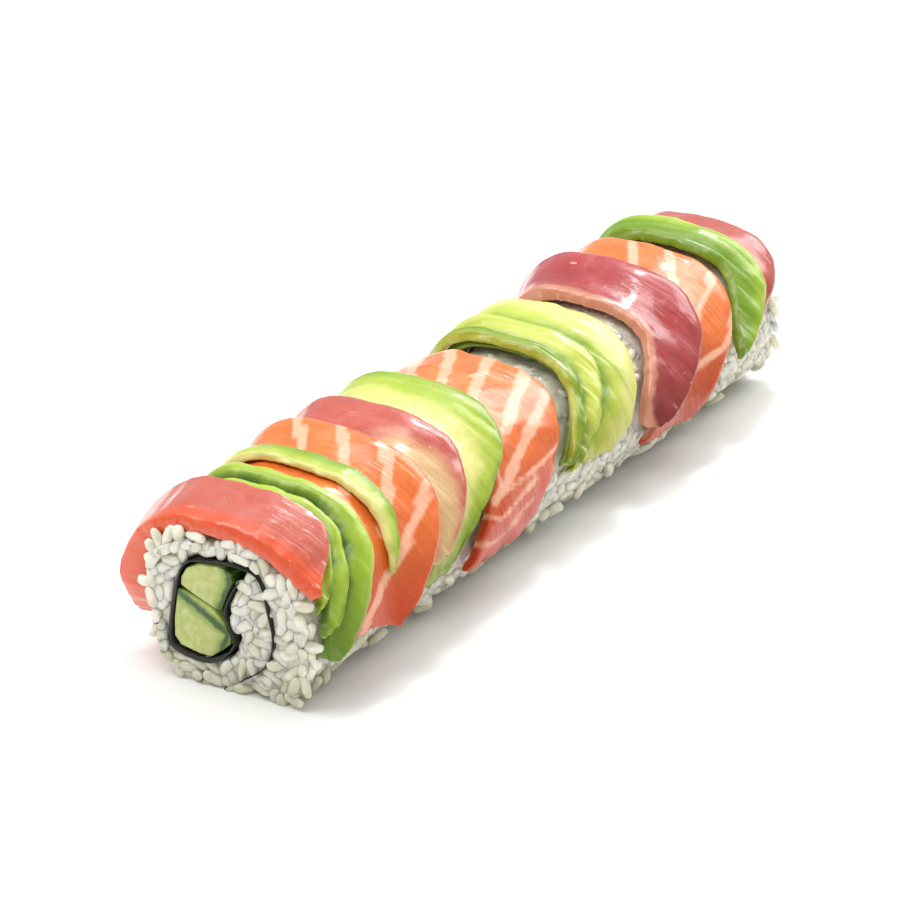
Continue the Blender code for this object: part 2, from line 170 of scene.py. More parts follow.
def cad_points(node):
    """A CAD node's corners, each once, in mm."""
    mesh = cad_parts[node].data
    spots = np.empty(len(mesh.vertices) * 3)
    mesh.vertices.foreach_get("co", spots)
    return np.unique(np.round(spots.reshape(-1, 3) / MM, 4), axis=0)


def tree_of(*nodes):
    """A search tree over the faces of some CAD nodes."""
    corners, faces = [], []
    for node in nodes:
        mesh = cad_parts[node].data
        start = len(corners)
        corners += [vertex.co.copy() for vertex in mesh.vertices]
        faces += [[start + index for index in face.vertices] for face in mesh.polygons]
    return BVHTree.FromPolygons(corners, faces)


class Outline:
    """The rice's outline across the roll, averaged over its length."""

    def __init__(self):
        spots = cad_points("rice")
        run = spots[:, 1] - SHOWN_END / MM
        inside = (run > RING_MARGIN) & (run < (FAR_END - SHOWN_END) / MM - RING_MARGIN)
        spots, run = spots[inside], run[inside]
        rows = []
        for row in np.unique(np.round(run, 1)):
            ring = spots[np.abs(run - row) < 0.2][:, [0, 2]]
            turn = np.arctan2(ring[:, 0], ring[:, 1] - BELLY)
            rows.append(ring[np.argsort(turn)])
        full = max(len(ring) for ring in rows)
        ring = np.mean([ring for ring in rows if len(ring) == full], axis=0)
        crest = np.argmax(ring[:, 1])
        ring = np.roll(ring, len(ring) // 2 - crest, axis=0)
        steps = np.linalg.norm(np.diff(ring, axis=0), axis=1)
        self.ways = np.concatenate([[0], np.cumsum(steps)])
        self.ways -= self.ways[len(ring) // 2]
        self.ring = ring

    def way_of(self, spots):
        """The way round of each place, by the nearest point of the outline."""
        across = spots[:, [0, 2]]
        best = np.full(len(spots), np.inf)
        way = np.zeros(len(spots))
        for start, end, low, high in zip(self.ring, self.ring[1:], self.ways, self.ways[1:]):
            along = (across - start) @ (end - start) / ((end - start) @ (end - start))
            along = np.clip(along, 0, 1)
            gap = np.linalg.norm(across - start - along[:, None] * (end - start), axis=1)
            nearer = gap < best
            best[nearer] = gap[nearer]
            way[nearer] = (low + along * (high - low))[nearer]
        return way


OUTLINE = Outline()


def slice_edges(node):
    """Ways round of a CAD slice's columns, with the runs of its front and back edges."""
    spots = cad_points(node)
    ways = OUTLINE.way_of(spots)
    order = np.argsort(ways)
    breaks = np.where(np.diff(ways[order]) > COLUMN_GAP)[0] + 1
    columns = np.split(order, breaks)
    run = spots[:, 1] - SHOWN_END / MM
    return (np.array([ways[column].mean() for column in columns]),
            np.array([run[column].min() for column in columns]),
            np.array([run[column].max() for column in columns]))


# Modelling helpers --------------------------------------------------------------------------------

def deselect():
    bpy.ops.object.select_all(action="DESELECT")


def pick(piece):
    deselect()
    piece.select_set(True)
    bpy.context.view_layer.objects.active = piece


def edit(piece, *steps):
    """Runs edit-mode steps on the whole of a piece."""
    pick(piece)
    bpy.ops.object.mode_set(mode="EDIT")
    bpy.ops.mesh.select_all(action="SELECT")
    for step, values in steps:
        step(**values)
    bpy.ops.object.mode_set(mode="OBJECT")


def copy_of(node, name):
    """A piece that starts as a merged copy of a CAD node's mesh."""
    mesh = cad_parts[node].data.copy()
    mesh.name = name
    mesh.materials.clear()
    piece = bpy.data.objects.new(name, mesh)
    bpy.context.scene.collection.objects.link(piece)
    pick(piece)
    if mesh.has_custom_normals:
        bpy.ops.mesh.customdata_custom_splitnormals_clear()
    for layer in list(mesh.uv_layers):
        mesh.uv_layers.remove(layer)
    wide = math.radians(70)
    edit(piece,
         (bpy.ops.mesh.remove_doubles, {"threshold": 1e-6}),
         (bpy.ops.mesh.tris_convert_to_quads, {"face_threshold": wide, "shape_threshold": wide}),
         (bpy.ops.mesh.mark_sharp, {"clear": True}))
    bpy.ops.object.shade_smooth()
    return piece


def modify(piece, kind, **values):
    """Adds a modifier and applies it."""
    pick(piece)
    modifier = piece.modifiers.new(kind.title(), kind)
    for key, value in values.items():
        setattr(modifier, key, value)
    bpy.ops.object.modifier_apply(modifier=modifier.name)


def read_points(piece):
    spots = np.empty(len(piece.data.vertices) * 3)
    piece.data.vertices.foreach_get("co", spots)
    return spots.reshape(-1, 3) / MM


def write_points(piece, spots):
    piece.data.vertices.foreach_set("co", (spots * MM).ravel())
    piece.data.update()


def read_normals(piece):
    normals = np.empty(len(piece.data.vertices) * 3)
    piece.data.vertices.foreach_get("normal", normals)
    return normals.reshape(-1, 3)


def store(piece, name, values):
    """Keeps one number for each corner of a piece, for its material to read."""
    layer = piece.data.attributes.new(name, "FLOAT", "POINT")
    layer.data.foreach_set("value", np.asarray(values, np.float32))


def store_laid(piece, ways, runs):
    """A UV map of way round and run, in cm."""
    layer = piece.data.uv_layers.new(name="laid")
    corners = np.empty(len(piece.data.loops), np.int32)
    piece.data.loops.foreach_get("vertex_index", corners)
    layer.data.foreach_set("uv", (np.column_stack([ways, runs])[corners] / 10).ravel())


def ripple(one, two, size, seed, waves=7):
    """Smooth unevenness between about -1 and 1 over two lengths, with features of one size."""
    chance = np.random.default_rng(seed)
    total = np.zeros(np.broadcast(one, two).shape)
    for _ in range(waves):
        heading = chance.uniform(0, 2 * math.pi)
        pace = 2 * math.pi / size * chance.uniform(0.6, 1.3)
        phase = chance.uniform(0, 2 * math.pi)
        total = total + np.sin(pace * (math.cos(heading) * one + math.sin(heading) * two) + phase)
    return total / math.sqrt(waves * 1.6)


def fade(value, start, end):
    """0 at start, 1 at end, smooth between."""
    share = np.clip((value - start) / (end - start), 0, 1)
    return share * share * (3 - 2 * share)


def finish_piece(piece, material, slot, *nodes):
    """Gives a piece its material and body, and hides the CAD nodes it stands for. The slot is not used."""
    piece.data.materials.clear()
    piece.data.materials.append(material)
    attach(piece, BODY)
    if nodes:
        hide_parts(*nodes)


# Material helper ----------------------------------------------------------------------------------

class Finish:
    """A node material under construction."""

    def __init__(self, name, rough, sheen_coat=0.0, scatter=0.0, reach=(1.0, 1.0, 1.0), scatter_mm=1.0):
        self.material = bpy.data.materials.new(name)
        self.material.use_nodes = True
        self.nodes = self.material.node_tree.nodes
        self.links = self.material.node_tree.links
        self.shader = self.nodes["Principled BSDF"]
        inputs = self.shader.inputs
        inputs["Roughness"].default_value = rough
        inputs["Coat Weight"].default_value = sheen_coat
        inputs["Coat Roughness"].default_value = 0.12
        inputs["Subsurface Weight"].default_value = scatter
        inputs["Subsurface Radius"].default_value = reach
        inputs["Subsurface Scale"].default_value = scatter_mm * MM
        self.object_place = self.nodes.new("ShaderNodeTexCoord").outputs["Object"]
        self.laid = None

    def node(self, kind, inputs, output=0, **settings):
        made = self.nodes.new(kind)
        for key, value in settings.items():
            setattr(made, key, value)
        for key, value in inputs.items():
            if isinstance(value, bpy.types.NodeSocket):
                self.links.new(value, made.inputs[key])
            elif isinstance(value, tuple) and len(value) == 3 and made.inputs[key].type == "RGBA":
                made.inputs[key].default_value = (*value, 1)
            else:
                made.inputs[key].default_value = value
        return made.outputs[output]

    def read(self, name):
        return self.node("ShaderNodeAttribute", {}, "Fac", attribute_name=name)

    def math(self, operation, one, two=0.0):
        return self.node("ShaderNodeMath", {0: one, 1: two}, operation=operation)

    def step(self, value, start, end, low=0.0, high=1.0):
        """A smooth change from low at start to high at end."""
        return self.node("ShaderNodeMapRange", {"Value": value, "From Min": start, "From Max": end,
                                                "To Min": low, "To Max": high},
                         interpolation_type="SMOOTHSTEP")

    def laid_place(self):
        if self.laid is None:
            self.laid = self.node("ShaderNodeUVMap", {}, uv_map="laid")
        return self.laid

    def height(self):
        return self.node("ShaderNodeSeparateXYZ", {0: self.object_place}, "Z")

    def noise(self, size, detail=3.0, rough=0.5, laid=False, stretch=(1, 1, 1), turn=0.0):
        """Noise with features of a size in mm, over the object or over the laid map."""
        per = 10 / size if laid else 1 / (size * MM)
        place = self.node("ShaderNodeMapping", {
            "Vector": self.laid_place() if laid else self.object_place,
            "Rotation": (0.0, 0.0, turn),
            "Scale": tuple(per * part for part in stretch)})
        return self.node("ShaderNodeTexNoise", {"Vector": place, "Scale": 1.0, "Detail": detail,
                                                "Roughness": rough})

    def mix(self, share, under, over, blend="MIX"):
        return self.node("ShaderNodeMix", {"Factor": share, 6: under, 7: over}, 2,
                         data_type="RGBA", blend_type=blend)

    def blend_along(self, value, colours):
        """Colours spread evenly over values from 0 to 1."""
        ramp = self.nodes.new("ShaderNodeValToRGB")
        ramp.color_ramp.interpolation = "EASE"
        stops = ramp.color_ramp.elements
        while len(stops) < len(colours):
            stops.new(0.5)
        for i, colour in enumerate(colours):
            stops[i].position = i / (len(colours) - 1)
            stops[i].color = (*tint(*colour), 1)
        self.links.new(value, ramp.inputs[0])
        return ramp.outputs[0]

    def colour(self, value):
        self.links.new(value, self.shader.inputs["Base Color"])

    def gloss(self, value):
        self.links.new(value, self.shader.inputs["Roughness"])

    def bump(self, *layers):
        """Relief from (height, depth in mm) layers, one over another."""
        normal = None
        for value, depth in layers:
            inputs = {"Height": value, "Distance": depth * MM, "Strength": 1.0}
            if normal:
                inputs["Normal"] = normal
            normal = self.node("ShaderNodeBump", inputs, "Normal")
        self.links.new(normal, self.shader.inputs["Normal"])


# Settings -----------------------------------------------------------------------------------------

def colour_setting(name, about, default):
    return bpy.props.FloatVectorProperty(name=name, description=about, default=tint(*default),
                                         subtype="COLOR", size=3, min=0, max=1)


def length_setting(name, about, default):
    return bpy.props.FloatProperty(name=name, description=about, default=default * MM,
                                   unit="LENGTH", precision=5)


class RiceSettings(bpy.types.PropertyGroup):
    grain_length: length_setting("Grain length", "Length of a cooked grain", 5.4)
    grain_width: length_setting("Grain width", "Width of a cooked grain", 2.9)
    spacing: length_setting("Spacing", "Least distance between two grains", 2.05)
    inset: length_setting("Inset", "How far the core lies inside the rice's outline", 1.0)
    light: colour_setting("Light grain", "Colour of an opaque grain", (238, 234, 216))
    clear: colour_setting("Clear grain", "Colour of a glassy grain", (216, 214, 192))


class FillingSettings(bpy.types.PropertyGroup):
    nori: colour_setting("Nori", "Colour of the nori sheet", (8, 10, 7))
    plump: bpy.props.FloatProperty(name="Plumpness", default=0.09, min=0, max=0.1,
                                   description="How far the sticks fill the space round them")
    flesh: colour_setting("Cucumber flesh", "Colour of the cucumber's middle", (176, 186, 98))
    skin: colour_setting("Cucumber skin", "Colour of the cucumber's skin side", (44, 82, 10))


class SliceSettings(bpy.types.PropertyGroup):
    ragged: length_setting("Ragged edge", "How far the cut edges wander", 0.35)
    waviness: length_setting("Waviness", "How far a slice's top wanders", 0.22)
    fat: colour_setting("Fat line", "Colour of the salmon's fat lines", (246, 184, 150))
    speck: colour_setting("Speck", "Colour of small specks on the fish", (232, 214, 170))


class StageSettings(bpy.types.PropertyGroup):
    azimuth: bpy.props.FloatProperty(name="Azimuth", description="Camera's turn round the roll",
                                     default=math.radians(31.2), subtype="ANGLE")
    elevation: bpy.props.FloatProperty(name="Elevation", description="Camera's height angle",
                                       default=math.radians(23.3), subtype="ANGLE")
    distance: bpy.props.FloatProperty(name="Distance", description="Camera to its aim",
                                      default=0.9, unit="LENGTH")
    aim: bpy.props.FloatVectorProperty(name="Aim", description="Where the camera looks",
                                       default=(-0.0085, -0.0013, 0.0117), subtype="TRANSLATION")
    lens: bpy.props.FloatProperty(name="Lens", description="Focal length in mm", default=160)
    floor: colour_setting("Floor", "Colour of the floor", (246, 246, 246))


SETTINGS = {"uramaki_rice": RiceSettings, "uramaki_fillings": FillingSettings,
            "uramaki_slices": SliceSettings, "uramaki_stage": StageSettings}


# Rice ---------------------------------------------------------------------------------------------

def rice_material():
    values = bpy.context.scene.uramaki_rice
    rice = Finish("rice_grain", 0.34, 0.25, 0.6, (1.0, 0.9, 0.6), 2.4)
    patch = rice.step(rice.noise(3.2, 1.0), 0.40, 0.62)
    colour = rice.mix(patch, tuple(values.light), tuple(values.clear))
    # Painted shade: the grains turn a darker grey-olive towards the floor, up to half way at the bottom.
    low = rice.step(rice.height(), 12 * MM, 0.5 * MM, 0.0, 0.5)
    colour = rice.mix(low, colour, tint(166, 168, 138))
    rice.colour(colour)
    rice.gloss(rice.step(rice.noise(1.4, 2.0), 0.3, 0.7, 0.26, 0.5))
    rice.bump((rice.noise(1.2, 2.0), 0.08))
    return rice.material


def grain_shape():
    """One cooked grain along X, blunt at one end and a little bent, in mm."""
    values = bpy.context.scene.uramaki_rice
    deselect()
    bpy.ops.mesh.primitive_uv_sphere_add(segments=8, ring_count=6, radius=1)
    grain = bpy.context.object
    edit(grain, (bpy.ops.transform.rotate, {"value": math.radians(90), "orient_axis": "Y",
                                            "center_override": (0, 0, 0)}))
    spots = read_points(grain) * MM
    faces = [tuple(face.vertices) for face in grain.data.polygons]
    bpy.data.objects.remove(grain)
    length, width = values.grain_length / MM, values.grain_width / MM
    along = spots[:, 0]
    girth = (1 - 0.12 * along) * np.sqrt(1 + along ** 2) * 0.88
    shaped = np.column_stack([along * length / 2, spots[:, 1] * width / 2 * girth,
                              spots[:, 2] * width / 2 * GRAIN_FLATNESS * girth])
    shaped[:, 1] += 0.35 * along ** 2
    return shaped, faces


def scatter_spots(nodes, count, seed):
    """Random places over the faces of CAD nodes, with their outward directions, in mm."""
    chance = np.random.default_rng(seed)
    corners, normals, areas = [], [], []
    for node in nodes:
        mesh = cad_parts[node].data
        mesh.calc_loop_triangles()
        for triangle in mesh.loop_triangles:
            spots = [np.array(mesh.vertices[i].co) / MM for i in triangle.vertices]
            cross = np.cross(spots[1] - spots[0], spots[2] - spots[0])
            size = np.linalg.norm(cross)
            if size > 1e-9:
                corners.append(spots)
                normals.append(cross / size)
                areas.append(size)
    corners, normals, areas = np.array(corners), np.array(normals), np.array(areas)
    chosen = chance.choice(len(areas), count, p=areas / areas.sum())
    one, two = chance.random((2, count, 1))
    flip = one + two > 1
    one, two = np.where(flip, 1 - one, one), np.where(flip, 1 - two, two)
    base = corners[chosen]
    spots = base[:, 0] + one * (base[:, 1] - base[:, 0]) + two * (base[:, 2] - base[:, 0])
    return spots, normals[chosen]


def thin_out(spots, least):
    """Indices of places that stay at least a distance apart, first come first kept."""
    cells, kept = {}, []
    for index, spot in enumerate(spots):
        home = tuple(int(part // least) for part in spot)
        near = [other for a in (-1, 0, 1) for b in (-1, 0, 1) for c in (-1, 0, 1)
                for other in cells.get((home[0] + a, home[1] + b, home[2] + c), ())]
        if all(np.sum((spots[other] - spot) ** 2) >= least * least for other in near):
            cells.setdefault(home, []).append(index)
            kept.append(index)
    return kept


def place_grains(name, places, seed):
    """Joins one grain at each (spot, outward direction) into a piece that stays inside the box."""
    chance = np.random.default_rng(seed)
    shape, shape_faces = grain_shape()
    low, high = (np.array(corner) / MM for corner in CAD_BOX)
    corners, faces = [], []
    for spot, out in places:
        lean = chance.normal(0, 0.20, 3)
        out = out + lean
        out /= np.linalg.norm(out)
        side = np.cross(out, chance.normal(0, 1, 3))
        side /= np.linalg.norm(side)
        turned = np.column_stack([side, np.cross(out, side), out])
        grown = shape * chance.uniform(0.84, 1.12, 3)
        start = len(corners) * len(shape)
        corners.append(np.clip(spot + grown @ turned.T, low, high))
        faces += [tuple(start + index for index in face) for face in shape_faces]
    mesh = bpy.data.meshes.new(name)
    mesh.from_pydata((np.concatenate(corners) * MM).tolist(), [], faces)
    piece = bpy.data.objects.new(name, mesh)
    bpy.context.scene.collection.objects.link(piece)
    pick(piece)
    bpy.ops.object.shade_smooth()
    return piece


def bare_places():
    """Where grains show: (spot, outward direction) lists for the two ends, the sides and below."""
    values = bpy.context.scene.uramaki_rice
    slices = tree_of(*ALL_SLICES)
    rice = tree_of("rice")
    fillings = tree_of("nori", "cucumber_lower", "cucumber_upper")
    spots, outs = scatter_spots(["rice"], GRAIN_TRIES, 11)
    chance = np.random.default_rng(12)
    groups = {"shown_end": [], "far_end": [], "sides": [], "below": []}
    half = values.grain_width / MM * GRAIN_FLATNESS / 2
    found = []
    for spot, out in zip(spots, outs):
        start = Vector((spot + out * TEST_LIFT) * MM)
        heading = Vector(out)
        if abs(out[1]) > END_FACING:
            if fillings.find_nearest(Vector(spot * MM))[3] < FILLING_CLEAR * MM:
                continue
            group = "shown_end" if out[1] < 0 else "far_end"
            deep = half + abs(chance.normal(0, 0.4))
        else:
            if rice.ray_cast(start, heading, 0.1)[0]:
                continue
            covered = [slices.ray_cast(start + Vector((0, shift * MM, 0)), heading, COVER_REACH * MM)[0]
                       for shift in (-2.0, 0.0, 2.0)]
            if all(covered):
                continue
            group = "below" if out[2] < DOWN_FACING else "sides"
            deep = half + (0.9 if any(covered) else 0.35 + chance.normal(0, 0.25))
            if group == "sides" and spot[2] < 7 and chance.random() < 0.12:
                deep -= 1.2
        found.append((group, spot - out * deep, out))
    for index in thin_out([place for _, place, _ in found], values.spacing / MM):
        group, place, out = found[index]
        groups[group].append((place, out))
    return groups


class URAMAKI_OT_rice(bpy.types.Operator):
    """Builds the pressed rice core and the grains that show at its ends, sides and underside"""
    bl_idname = "uramaki.rice"
    bl_label = "Rice"

    def execute(self, context):
        values = context.scene.uramaki_rice
        material = rice_material()
        core = copy_of("rice", "rice_core")
        spots = read_points(core)
        low, high = SHOWN_END / MM, FAR_END / MM
        inset = values.inset / MM
        at_end = (spots[:, 1] < low + 0.5) | (spots[:, 1] > high - 0.5)
        outer = ~at_end | (self.distance_to_outline(spots) < 1.6)
        centre = np.array([0.0, BELLY])
        reach = np.linalg.norm(spots[:, [0, 2]] - centre, axis=1)
        shrink = np.where(outer, (reach - inset) / reach, 1.0)
        spots[:, [0, 2]] = centre + (spots[:, [0, 2]] - centre) * shrink[:, None]
        spots[:, 1] = np.clip(spots[:, 1], low + inset + 0.4, high - inset - 0.4)
        write_points(core, spots)
        modify(core, "REMESH", mode="VOXEL", voxel_size=CORE_VOXEL * MM)
        spots = read_points(core)
        normals = read_normals(core)
        rough = ripple(spots[:, 0] + spots[:, 2], spots[:, 1], 3.4, 5)
        rough += ripple(spots[:, 0] - spots[:, 2], spots[:, 1], 2.6, 6)
        spots += normals * (rough * 0.22)[:, None]
        spots[:, 2] = np.maximum(spots[:, 2], 0.0)
        write_points(core, spots)
        pick(core)
        bpy.ops.object.shade_smooth()
        finish_piece(core, material, "rice", "rice")
        for seed, (group, places) in enumerate(bare_places().items()):
            grains = place_grains("grains_" + group, places, 21 + seed)
            finish_piece(grains, material, "rice")
        return {"FINISHED"}

    @staticmethod
    def distance_to_outline(spots):
        across = spots[:, [0, 2]]
        return np.min([np.linalg.norm(across - corner, axis=1) for corner in OUTLINE.ring], axis=0)


# Fillings -----------------------------------------------------------------------------------------

class URAMAKI_OT_nori(bpy.types.Operator):
    """Builds the rolled nori sheet, thick where it is wet and doubled, thin round the far side"""
    bl_idname = "uramaki.nori"
    bl_label = "Nori"

    def execute(self, context):
        sheet = copy_of("nori", "nori_sheet")
        spots = read_points(sheet)
        across = spots[:, [0, 2]]
        partner = np.zeros_like(across)
        for i, spot in enumerate(across):
            gap = np.linalg.norm(across - spot, axis=1)
            gap[gap < 0.6] = np.inf
            partner[i] = across[np.argmin(gap)]
        middle = (across + partner) / 2
        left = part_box("nori")[0].x / MM
        thick = np.full(len(spots), NORI_PLAIN)
        thick[(middle[:, 0] < left + 4.5) & (middle[:, 1] < 22)] = NORI_WET
        thick[(middle[:, 1] < 8.5) & (middle[:, 0] < left + 14)] = NORI_DOUBLED
        thick[(middle[:, 0] > left + 17) | (middle[:, 1] > 25)] = NORI_OUTER
        spots[:, [0, 2]] = middle + (across - middle) * thick[:, None]
        write_points(sheet, spots)
        modify(sheet, "BEVEL", width=0.08 * MM, segments=1, limit_method="ANGLE")
        nori = Finish("nori_wet", 0.5, 0.1)
        tone = nori.noise(2.0, 4.0)
        colour = nori.mix(nori.step(tone, 0.35, 0.7), tuple(context.scene.uramaki_fillings.nori),
                          tint(16, 20, 12))
        nori.colour(colour)
        nori.gloss(nori.step(tone, 0.3, 0.7, 0.28, 0.6))
        nori.bump((nori.noise(0.5, 3.0), 0.15))
        finish_piece(sheet, nori.material, "nori", "nori")
        return {"FINISHED"}


# Each stick's skin side: corners of straight skin lines, as shares of the stick's width and height.
CUCUMBER_SKIN = {
    "cucumber_lower": (((0.04, 1.0), (1.0, 0.46)), ((1.0, 0.46), (0.86, 0.12))),
    "cucumber_upper": (((0.77, 0.0), (1.0, 0.73)), ((1.0, 0.73), (0.94, 1.0))),
}


class URAMAKI_OT_cucumber(bpy.types.Operator):
    """Builds the two cucumber sticks, pale inside with a green skin side"""
    bl_idname = "uramaki.cucumber"
    bl_label = "Cucumber"

    def execute(self, context):
        values = context.scene.uramaki_fillings
        for node, lines in CUCUMBER_SKIN.items():
            stick = copy_of(node, node.replace("cucumber", "cucumber_stick"))
            spots = read_points(stick)
            middle = (spots.max(axis=0) + spots.min(axis=0)) / 2
            spots[:, [0, 2]] += (spots - middle)[:, [0, 2]] * values.plump
            write_points(stick, spots)
            modify(stick, "BEVEL", width=0.35 * MM, segments=3, limit_method="ANGLE",
                   angle_limit=math.radians(50))
            flesh = Finish(stick.name, 0.24, 0.45, 0.35, (1.0, 0.9, 0.4), 2.2)
            nearest = None
            low, high = (np.array(corner)[[0, 2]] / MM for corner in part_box(node))
            for start, end in lines:
                (x_one, z_one), (x_two, z_two) = low + np.array([start, end]) * (high - low)
                run = math.hypot(x_two - x_one, z_two - z_one)
                away = ((z_two - z_one) / run, 0.0, -(x_two - x_one) / run)
                across = flesh.node("ShaderNodeVectorMath", {0: flesh.object_place, 1: away}, "Value",
                                    operation="DOT_PRODUCT")
                offset = (x_one * away[0] + z_one * away[2]) * MM
                gap = flesh.math("ABSOLUTE", flesh.math("SUBTRACT", across, offset))
                nearest = gap if nearest is None else flesh.math("MINIMUM", nearest, gap)
            wander = flesh.math("MULTIPLY", flesh.noise(1.6, 3.0), 1.3 * MM)
            depth = flesh.math("ADD", nearest, wander)
            colour = flesh.mix(flesh.step(flesh.noise(1.8, 4.0, stretch=(1, 0.1, 1)), 0.35, 0.7),
                               tuple(values.flesh), tint(196, 204, 132))
            colour = flesh.mix(flesh.step(depth, 3.4 * MM, 1.4 * MM, 0.0, 0.75), colour, tint(116, 150, 40))
            colour = flesh.mix(flesh.step(depth, 1.9 * MM, 0.9 * MM), colour, tuple(values.skin))
            flesh.colour(colour)
            flesh.bump((flesh.noise(0.9, 3.0), 0.10))
            finish_piece(stick, flesh.material, "cucumber_flesh", node)
        return {"FINISHED"}


# Slices -------------------------------------------------------------------------------------------

def lay_out(piece, node):
    """Ways, runs, visible front edge and back edge for every corner of a slice, in mm."""
    spots = read_points(piece)
    ways = OUTLINE.way_of(spots)
    runs = spots[:, 1] - SHOWN_END / MM
    columns, fronts, backs = slice_edges(node)
    front = np.interp(ways, columns, fronts)
    back = np.interp(ways, columns, backs)
    cover = COVERED_BY.get(node)
    if cover:
        cover_ways, _, cover_backs = slice_edges(cover)
        over = (ways > cover_ways[0]) & (ways < cover_ways[-1])
        front = np.where(over, np.maximum(front, np.interp(ways, cover_ways, cover_backs)), front)
    return spots, ways, runs, front, np.maximum(back, front + 0.5), columns


def shape_slice(node, seed, crease=0.0):
    """A slice with ragged cut edges, a wavy top and creases that run round the roll."""
    values = bpy.context.scene.uramaki_slices
    piece = copy_of(node, node + "_slice")
    modify(piece, "SUBSURF", levels=3, render_levels=3)
    spots, ways, runs, front, back, columns = lay_out(piece, node)
    normals = read_normals(piece)
    ragged = values.ragged / MM
    near_back = fade(back - runs, 2.5, 0.0)
    near_front = fade(runs - front, 2.5, 0.0)
    wander = ripple(ways, ways * 0, 5.0, seed) * 0.6 + ripple(ways, ways * 0, 1.9, seed + 1) * 0.4
    spots[:, 1] += wander * ragged * near_back
    wander = ripple(ways, ways * 0, 4.0, seed + 2) * 0.6 + ripple(ways, ways * 0, 1.6, seed + 3) * 0.4
    spots[:, 1] += wander * ragged * near_front
    hem = np.minimum(ways - columns[0], columns[-1] - ways)
    wander = ripple(runs, runs * 0, 3.2, seed + 4) + 0.6 * ripple(runs, runs * 0, 1.3, seed + 5)
    spots[:, 2] += wander * ragged * 1.3 * fade(hem, 3.5, 0.0)
    lift = ripple(ways, runs, 9.0, seed + 6) * values.waviness / MM
    if crease:
        fold = np.abs(ripple(ways * 0.05, runs, 5.0, seed + 7))
        lift += (fade(fold, 0.0, 0.45) - 1) * crease
    top = fade(np.einsum("ij,ij->i", normals, outward(spots)), 0.1, 0.6)
    spots += normals * (lift * top)[:, None]
    low, high = (np.array(corner) / MM for corner in CAD_BOX)
    write_points(piece, np.clip(spots, low + 0.01, high - 0.01))
    store(piece, "across", (runs - front) / (back - front))
    store(piece, "from_front", runs - front)
    store(piece, "from_back", back - runs)
    store(piece, "way", ways)
    store_laid(piece, ways, runs)
    return piece, ways, runs


def outward(spots):
    """Directions away from the roll's middle line."""
    away = spots * (1, 0, 1) - (0, 0, BELLY)
    return away / np.maximum(np.linalg.norm(away, axis=1), 1e-6)[:, None]


def line_distance(ways, runs, corners):
    """How far each place is from a line through (way, run) corners."""
    spots = np.column_stack([ways, runs])
    nearest = np.full(len(spots), FAR_OFF)
    for start, end in zip(corners, corners[1:]):
        start, end = np.array(start, float), np.array(end, float)
        along = np.clip((spots - start) @ (end - start) / ((end - start) @ (end - start)), 0, 1)
        gap = np.linalg.norm(spots - start - along[:, None] * (end - start), axis=1)
        nearest = np.minimum(nearest, gap)
    return nearest


def tuna_material(node, look):
    crest, low, edge, edge_width = look
    tuna = Finish(node + "_flesh", 0.28, 0.5, 0.15, (1.0, 0.3, 0.15), 1.4)
    mottle = tuna.noise(7.0, 4.0, laid=True, stretch=(0.5, 1, 1))
    colour = tuna.mix(tuna.step(mottle, 0.35, 0.65, 0.0, 0.30), tint(*crest), tint(*low))
    # Painted shade: the flesh turns to the slice's darker low colour lower down the roll.
    painted_shade_lowness = tuna.step(tuna.height(), 32 * MM, 12 * MM)
    colour = tuna.mix(painted_shade_lowness, colour, tint(*low))
    wander = tuna.math("MULTIPLY", tuna.noise(4.0, 3.0, laid=True), 3.0)
    from_front = tuna.math("ADD", tuna.read("from_front"), wander)
    band = tuna.step(from_front, edge_width + 2.6, edge_width * 0.5 + 1.2)
    if node == "tuna_2":
        band = tuna.math("MULTIPLY", band, tuna.step(tuna.read("way"), -1.0, 9.0))
    colour = tuna.mix(band, colour, tint(*edge))
    streaks = tuna.noise(1.3, 4.0, laid=True, stretch=(0.12, 1, 1), turn=0.25)
    colour = tuna.mix(tuna.step(streaks, 0.54, 0.78, 0.0, 0.12), colour, tint(226, 150, 126))
    specks = tuna.noise(1.1, 1.0, laid=True)
    colour = tuna.mix(tuna.step(specks, 0.74, 0.80, 0.0, 0.6), colour,
                      tuple(bpy.context.scene.uramaki_slices.speck))
    tuna.colour(colour)
    tuna.gloss(tuna.step(tuna.noise(3.0, 4.0), 0.3, 0.7, 0.20, 0.42))
    tuna.bump((tuna.noise(3.0, 3.0, laid=True, stretch=(0.4, 1, 1)), 0.35), (streaks, 0.12))
    return tuna.material


def salmon_material(node, look):
    crest, low, _ = look
    salmon = Finish(node + "_flesh", 0.30, 0.45, 0.12, (1.0, 0.35, 0.12), 1.2)
    mottle = salmon.noise(8.0, 3.0, laid=True)
    colour = salmon.mix(salmon.step(mottle, 0.35, 0.65, 0.0, 0.35), tint(*crest), tint(*low))
    # Painted shade: the flesh turns to the slice's darker low colour lower down the roll.
    colour = salmon.mix(salmon.step(salmon.height(), 33 * MM, 11 * MM), colour, tint(*low))
    fibres = salmon.noise(1.15, 2.0, laid=True, stretch=(0.12, 1, 1), turn=-0.6)
    colour = salmon.mix(salmon.step(fibres, 0.50, 0.70, 0.0, 0.25), colour, tint(226, 100, 40))
    wander = salmon.math("MULTIPLY", salmon.math("SUBTRACT", salmon.noise(3.5, 3.0, laid=True), 0.5), 1.1)
    gap = salmon.math("ADD", salmon.read("fat"), wander)
    fat = salmon.step(gap, 0.45, -0.45)
    fade_low = salmon.step(salmon.height(), 8 * MM, 22 * MM, 0.45, 0.92)
    colour = salmon.mix(salmon.math("MULTIPLY", fat, fade_low), colour,
                        tuple(bpy.context.scene.uramaki_slices.fat))
    salmon.colour(colour)
    salmon.gloss(salmon.step(salmon.noise(2.5, 3.0), 0.3, 0.7, 0.22, 0.45))
    salmon.bump((fibres, 0.22), (salmon.noise(4.0, 2.0, laid=True), 0.25))
    return salmon.material


